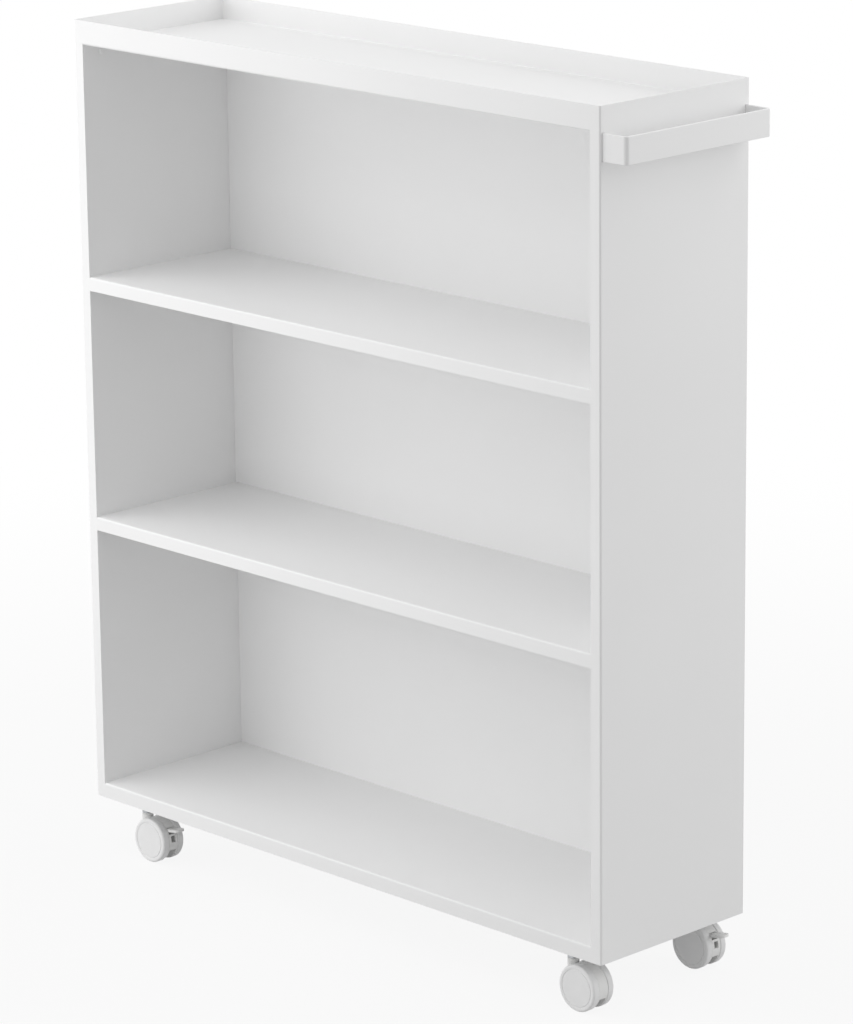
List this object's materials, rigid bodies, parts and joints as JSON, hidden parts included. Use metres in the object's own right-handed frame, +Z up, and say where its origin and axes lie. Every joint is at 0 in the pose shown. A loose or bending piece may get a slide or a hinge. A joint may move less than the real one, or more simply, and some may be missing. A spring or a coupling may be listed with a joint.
{
  "type": "book trolley",
  "caption": "Slim white steel book trolley with open bays, a shallow tray on top, a flat-bar push handle on one side and swivelling twin-wheel casters.",
  "frame": {"origin": "on the floor under the middle of the whole trolley, handle included", "axes": "+X to the handle side, +Y to the closed back, +Z up; the open front faces -Y"},
  "size_m": [0.808, 0.215, 0.9375],
  "materials": {
    "powder_coat": "fine satin powder coat",
    "caster_plastic": "moulded, semi-gloss",
    "zinc_steel": "zinc plated"
  },
  "bodies": {
    "case": {"left_outer_skin": "powder_coat", "right_outer_skin": "powder_coat", "left_inner_skin": "powder_coat", "right_inner_skin": "powder_coat", "back_panel": "powder_coat", "top_tray": "powder_coat", "upper_shelf": "powder_coat", "lower_shelf": "powder_coat", "base_shelf": "powder_coat", "handle": "powder_coat", "left_tray_cleat": "powder_coat", "right_tray_cleat": "powder_coat", "left_caster_bearer": "powder_coat", "right_caster_bearer": "powder_coat", "tray_screws": "powder_coat", "tray_nuts": "zinc_steel", "shelf_screws": "zinc_steel", "shelf_nuts": "zinc_steel", "back_screws": "zinc_steel", "back_nuts": "zinc_steel", "stem_washers": "zinc_steel", "stem_nuts": "zinc_steel", "front_left_stem": "zinc_steel", "rear_left_stem": "zinc_steel", "front_right_stem": "zinc_steel", "rear_right_stem": "zinc_steel"},
    "front_left_caster": {"front_left_hood": "caster_plastic", "front_left_axle": "zinc_steel", "front_left_pedal_pin": "zinc_steel"},
    "front_left_near_wheel": {"front_left_near_wheel": "caster_plastic"},
    "front_left_far_wheel": {"front_left_far_wheel": "caster_plastic"},
    "front_left_pedal": {"front_left_pedal": "caster_plastic"},
    "rear_left_caster": {"rear_left_hood": "caster_plastic", "rear_left_axle": "zinc_steel"},
    "rear_left_near_wheel": {"rear_left_near_wheel": "caster_plastic"},
    "rear_left_far_wheel": {"rear_left_far_wheel": "caster_plastic"},
    "front_right_caster": {"front_right_hood": "caster_plastic", "front_right_axle": "zinc_steel"},
    "front_right_near_wheel": {"front_right_near_wheel": "caster_plastic"},
    "front_right_far_wheel": {"front_right_far_wheel": "caster_plastic"},
    "rear_right_caster": {"rear_right_hood": "caster_plastic", "rear_right_axle": "zinc_steel", "rear_right_pedal_pin": "zinc_steel"},
    "rear_right_near_wheel": {"rear_right_near_wheel": "caster_plastic"},
    "rear_right_far_wheel": {"rear_right_far_wheel": "caster_plastic"},
    "rear_right_pedal": {"rear_right_pedal": "caster_plastic"}
  },
  "joints": [
    {"name": "front_left_swivel", "type": "hinge", "parent": "case", "child": "front_left_caster", "pos_m": [-0.3445, -0.085, 0.0425], "axis": [0, 0, 1], "continuous": true},
    {"name": "front_left_near_wheel_spin", "type": "hinge", "parent": "front_left_caster", "child": "front_left_near_wheel", "pos_m": [-0.3265, -0.085, 0.025], "axis": [0, 1, 0], "continuous": true},
    {"name": "front_left_far_wheel_spin", "type": "hinge", "parent": "front_left_caster", "child": "front_left_far_wheel", "pos_m": [-0.3265, -0.085, 0.025], "axis": [0, 1, 0], "continuous": true},
    {"name": "front_left_pedal_press", "type": "hinge", "parent": "front_left_caster", "child": "front_left_pedal", "pos_m": [-0.31398, -0.085, 0.03752], "axis": [0, 1, 0], "range_deg": [0, 12]},
    {"name": "rear_left_swivel", "type": "hinge", "parent": "case", "child": "rear_left_caster", "pos_m": [-0.3445, 0.085, 0.0425], "axis": [0, 0, 1], "continuous": true},
    {"name": "rear_left_near_wheel_spin", "type": "hinge", "parent": "rear_left_caster", "child": "rear_left_near_wheel", "pos_m": [-0.3265, 0.085, 0.025], "axis": [0, 1, 0], "continuous": true},
    {"name": "rear_left_far_wheel_spin", "type": "hinge", "parent": "rear_left_caster", "child": "rear_left_far_wheel", "pos_m": [-0.3265, 0.085, 0.025], "axis": [0, 1, 0], "continuous": true},
    {"name": "front_right_swivel", "type": "hinge", "parent": "case", "child": "front_right_caster", "pos_m": [0.3125, -0.085, 0.0425], "axis": [0, 0, 1], "continuous": true},
    {"name": "front_right_near_wheel_spin", "type": "hinge", "parent": "front_right_caster", "child": "front_right_near_wheel", "pos_m": [0.3305, -0.085, 0.025], "axis": [0, 1, 0], "continuous": true},
    {"name": "front_right_far_wheel_spin", "type": "hinge", "parent": "front_right_caster", "child": "front_right_far_wheel", "pos_m": [0.3305, -0.085, 0.025], "axis": [0, 1, 0], "continuous": true},
    {"name": "rear_right_swivel", "type": "hinge", "parent": "case", "child": "rear_right_caster", "pos_m": [0.3125, 0.085, 0.0425], "axis": [0, 0, 1], "continuous": true},
    {"name": "rear_right_near_wheel_spin", "type": "hinge", "parent": "rear_right_caster", "child": "rear_right_near_wheel", "pos_m": [0.3305, 0.085, 0.025], "axis": [0, 1, 0], "continuous": true},
    {"name": "rear_right_far_wheel_spin", "type": "hinge", "parent": "rear_right_caster", "child": "rear_right_far_wheel", "pos_m": [0.3305, 0.085, 0.025], "axis": [0, 1, 0], "continuous": true},
    {"name": "rear_right_pedal_press", "type": "hinge", "parent": "rear_right_caster", "child": "rear_right_pedal", "pos_m": [0.34302, 0.085, 0.03752], "axis": [0, 1, 0], "range_deg": [0, 12]}
  ]
}
